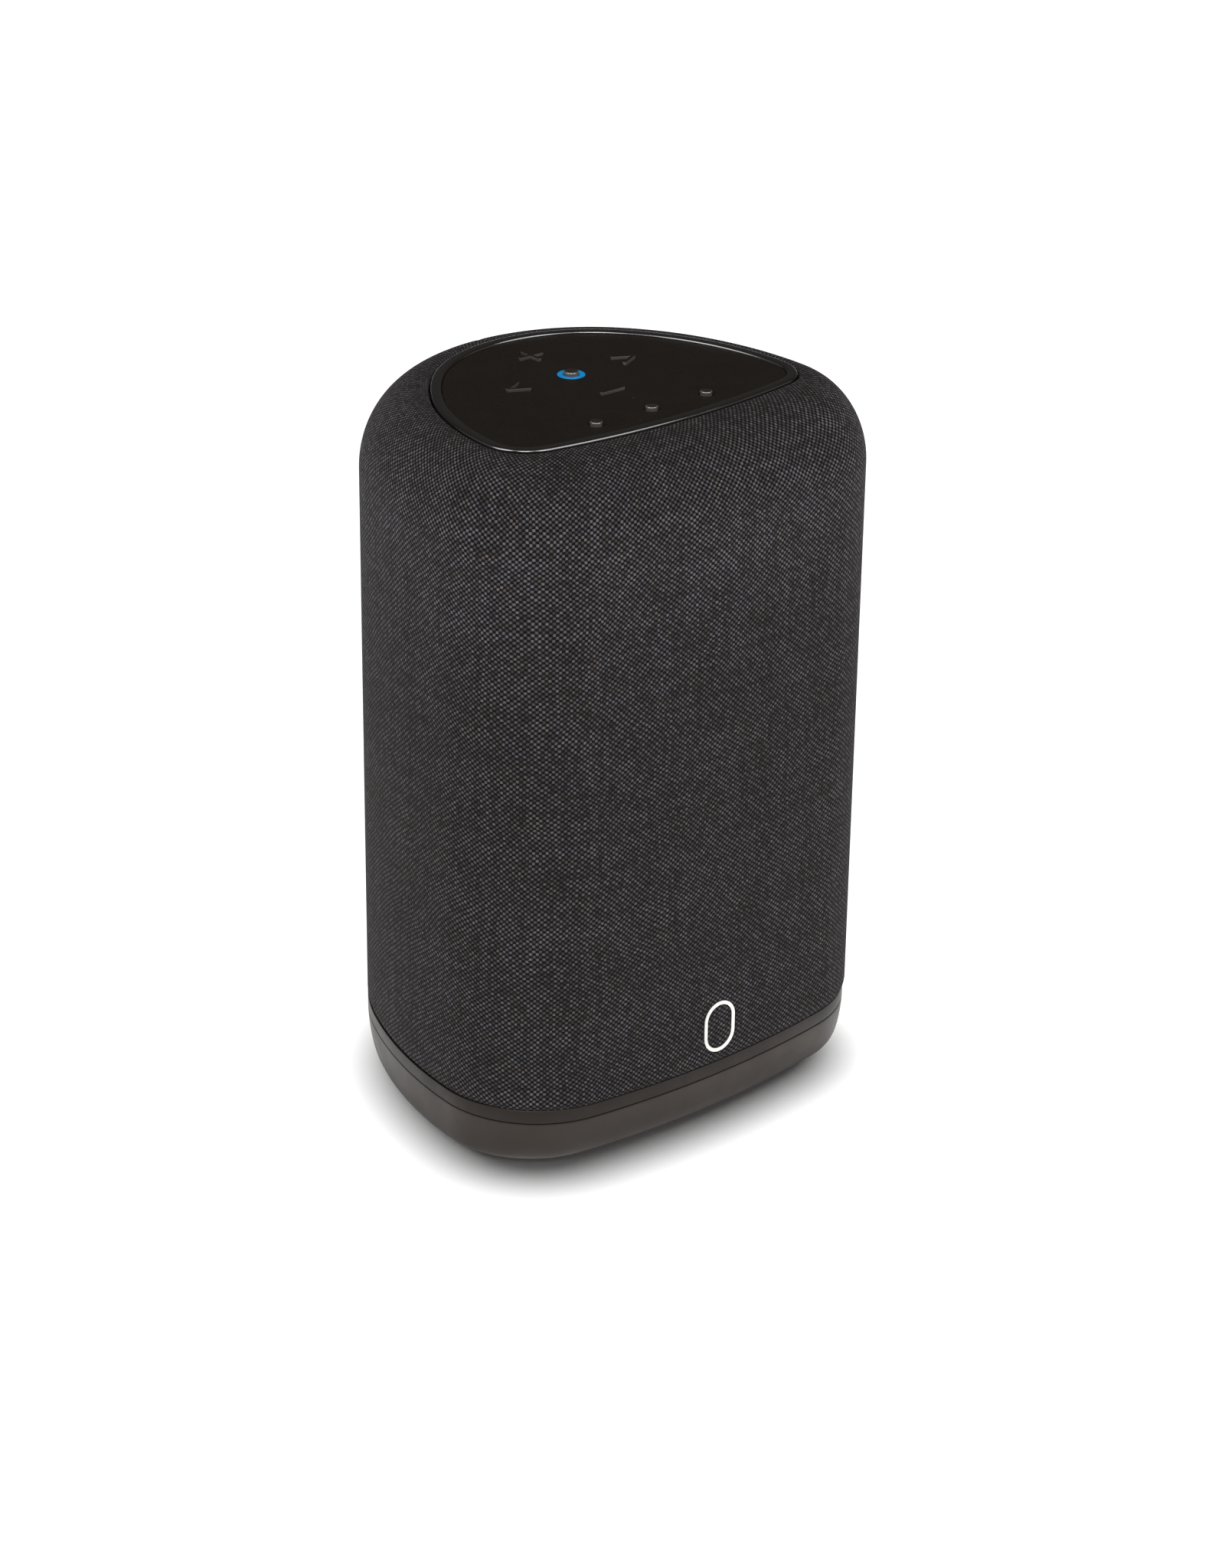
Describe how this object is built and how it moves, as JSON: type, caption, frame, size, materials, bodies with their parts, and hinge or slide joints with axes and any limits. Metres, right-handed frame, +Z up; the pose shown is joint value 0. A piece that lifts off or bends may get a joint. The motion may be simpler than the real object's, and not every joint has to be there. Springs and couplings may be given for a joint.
{
  "type": "smart home hub",
  "caption": "Compact smart speaker hub with a rounded triangle plan, a fabric covered body, a key panel set in the top, a plastic base and rear connectors.",
  "frame": {"origin": "centre of the footprint's box, on the surface the speaker stands on", "axes": "+Z up along the body's height, front with the badge towards -Y, +X to the right of a viewer who faces the front"},
  "size_m": [0.125, 0.1104, 0.1843],
  "materials": {
    "fabric": "plain woven speaker cloth, dark charcoal with lighter grey flecks",
    "frame_plastic": "black moulded plastic, matt",
    "rim": "black plastic, polished to a soft gloss",
    "panel": "black soft touch coating",
    "keys": "black plastic, satin",
    "light_guide": "translucent light guide, lit blue",
    "badge": "off-white plastic, satin",
    "base_plastic": "warm dark grey plastic, satin",
    "bottom_plastic": "black moulded plastic, fine grain",
    "foot_rubber": "black rubber, matt",
    "rear_plastic": "black plastic, fine spark-eroded grain",
    "inlet_plastic": "black plastic",
    "contact_metal": "nickel plated",
    "jack_metal": "tinned steel, stamped",
    "setup_key": "grey plastic, matt",
    "lens": "smoked light pipe",
    "led": "white package",
    "circuit_board": "green solder mask",
    "power_board": "brown laminate",
    "switch_plastic": "pale switch bodies",
    "screw_steel": "zinc plated steel",
    "gasket": "closed cell foam",
    "basket_metal": "black powder coat",
    "ferrite": "sintered ferrite",
    "yoke_steel": "zinc plated steel",
    "cone": "black woven fibre cone",
    "coil": "lacquered copper winding",
    "spider": "resin stiffened cloth",
    "dome": "coated silk dome",
    "heatsink": "extruded aluminium",
    "transformer": "yellow tape over ferrite",
    "capacitor": "dark blue sleeve",
    "cable": "white ribbon cable",
    "wire": "red insulated wire"
  },
  "bodies": {
    "root": {"fabric_sleeve": "fabric", "grille_frame": "frame_plastic", "shoulder_housing": "frame_plastic", "top_rim": "rim", "control_panel": "panel", "light_ring": "light_guide", "panel_carrier": "frame_plastic", "button_board": "circuit_board", "key_switches": "switch_plastic", "ring_leds": "led", "panel_screws": "screw_steel", "front_badge": "badge", "base_band": "base_plastic", "base_shell": "base_plastic", "bottom_plate": "bottom_plastic", "foot_ring": "foot_rubber", "base_screws": "screw_steel", "status_lens": "lens", "status_led": "led", "rear_plate": "rear_plastic", "power_inlet": "inlet_plastic", "inlet_pins": "contact_metal", "ethernet_jack": "jack_metal", "usb_socket": "jack_metal", "aux_jack": "inlet_plastic", "io_board": "circuit_board", "setup_switch": "switch_plastic", "front_baffle": "frame_plastic", "cabinet_tub": "frame_plastic", "cabinet_gasket": "gasket", "cabinet_screws": "screw_steel", "woofer_basket": "basket_metal", "woofer_magnet": "ferrite", "woofer_yoke": "yoke_steel", "woofer_surround": "foot_rubber", "woofer_spider": "spider", "tweeter_plate": "frame_plastic", "tweeter_magnet": "yoke_steel", "main_board": "circuit_board", "processor_shield": "jack_metal", "amplifier_heatsink": "heatsink", "antennas": "circuit_board", "power_supply_board": "power_board", "transformer": "transformer", "capacitors": "capacitor", "ribbon_cable": "cable", "speaker_wires": "wire"},
    "play_key": {"play_button": "keys"},
    "volume_up_key": {"volume_up_button": "keys"},
    "volume_down_key": {"volume_down_button": "keys"},
    "previous_key": {"previous_button": "keys"},
    "next_key": {"next_button": "keys"},
    "preset_key_1": {"preset_button_1": "keys"},
    "preset_key_2": {"preset_button_2": "keys"},
    "preset_key_3": {"preset_button_3": "keys"},
    "setup_key": {"setup_button": "setup_key"},
    "woofer_moving": {"woofer_cone": "cone", "woofer_dust_cap": "cone", "woofer_coil": "coil"},
    "tweeter_moving": {"tweeter_dome": "dome"}
  },
  "joints": [
    {"name": "play_key_press", "type": "slide", "parent": "root", "child": "play_key", "axis": [0, 0, -1], "range_m": [0, 0.0006], "stiffness_N_per_m": 2500},
    {"name": "volume_up_key_press", "type": "slide", "parent": "root", "child": "volume_up_key", "axis": [0, 0, -1], "range_m": [0, 0.0006], "stiffness_N_per_m": 2500},
    {"name": "volume_down_key_press", "type": "slide", "parent": "root", "child": "volume_down_key", "axis": [0, 0, -1], "range_m": [0, 0.0006], "stiffness_N_per_m": 2500},
    {"name": "previous_key_press", "type": "slide", "parent": "root", "child": "previous_key", "axis": [0, 0, -1], "range_m": [0, 0.0006], "stiffness_N_per_m": 2500},
    {"name": "next_key_press", "type": "slide", "parent": "root", "child": "next_key", "axis": [0, 0, -1], "range_m": [0, 0.0006], "stiffness_N_per_m": 2500},
    {"name": "preset_key_1_press", "type": "slide", "parent": "root", "child": "preset_key_1", "axis": [0, 0, -1], "range_m": [0, 0.0006], "stiffness_N_per_m": 2500},
    {"name": "preset_key_2_press", "type": "slide", "parent": "root", "child": "preset_key_2", "axis": [0, 0, -1], "range_m": [0, 0.0006], "stiffness_N_per_m": 2500},
    {"name": "preset_key_3_press", "type": "slide", "parent": "root", "child": "preset_key_3", "axis": [0, 0, -1], "range_m": [0, 0.0006], "stiffness_N_per_m": 2500},
    {"name": "setup_key_press", "type": "slide", "parent": "root", "child": "setup_key", "axis": [0, -1, 0], "range_m": [0, 0.0005], "stiffness_N_per_m": 2500},
    {"name": "woofer_stroke", "type": "slide", "parent": "root", "child": "woofer_moving", "axis": [0, -1, 0], "range_m": [-0.0025, 0.0025], "stiffness_N_per_m": 1200, "deforming": ["woofer_surround", "woofer_spider"]},
    {"name": "tweeter_stroke", "type": "slide", "parent": "root", "child": "tweeter_moving", "axis": [0, -1, 0], "range_m": [-0.0003, 0.0003], "stiffness_N_per_m": 2000}
  ]
}
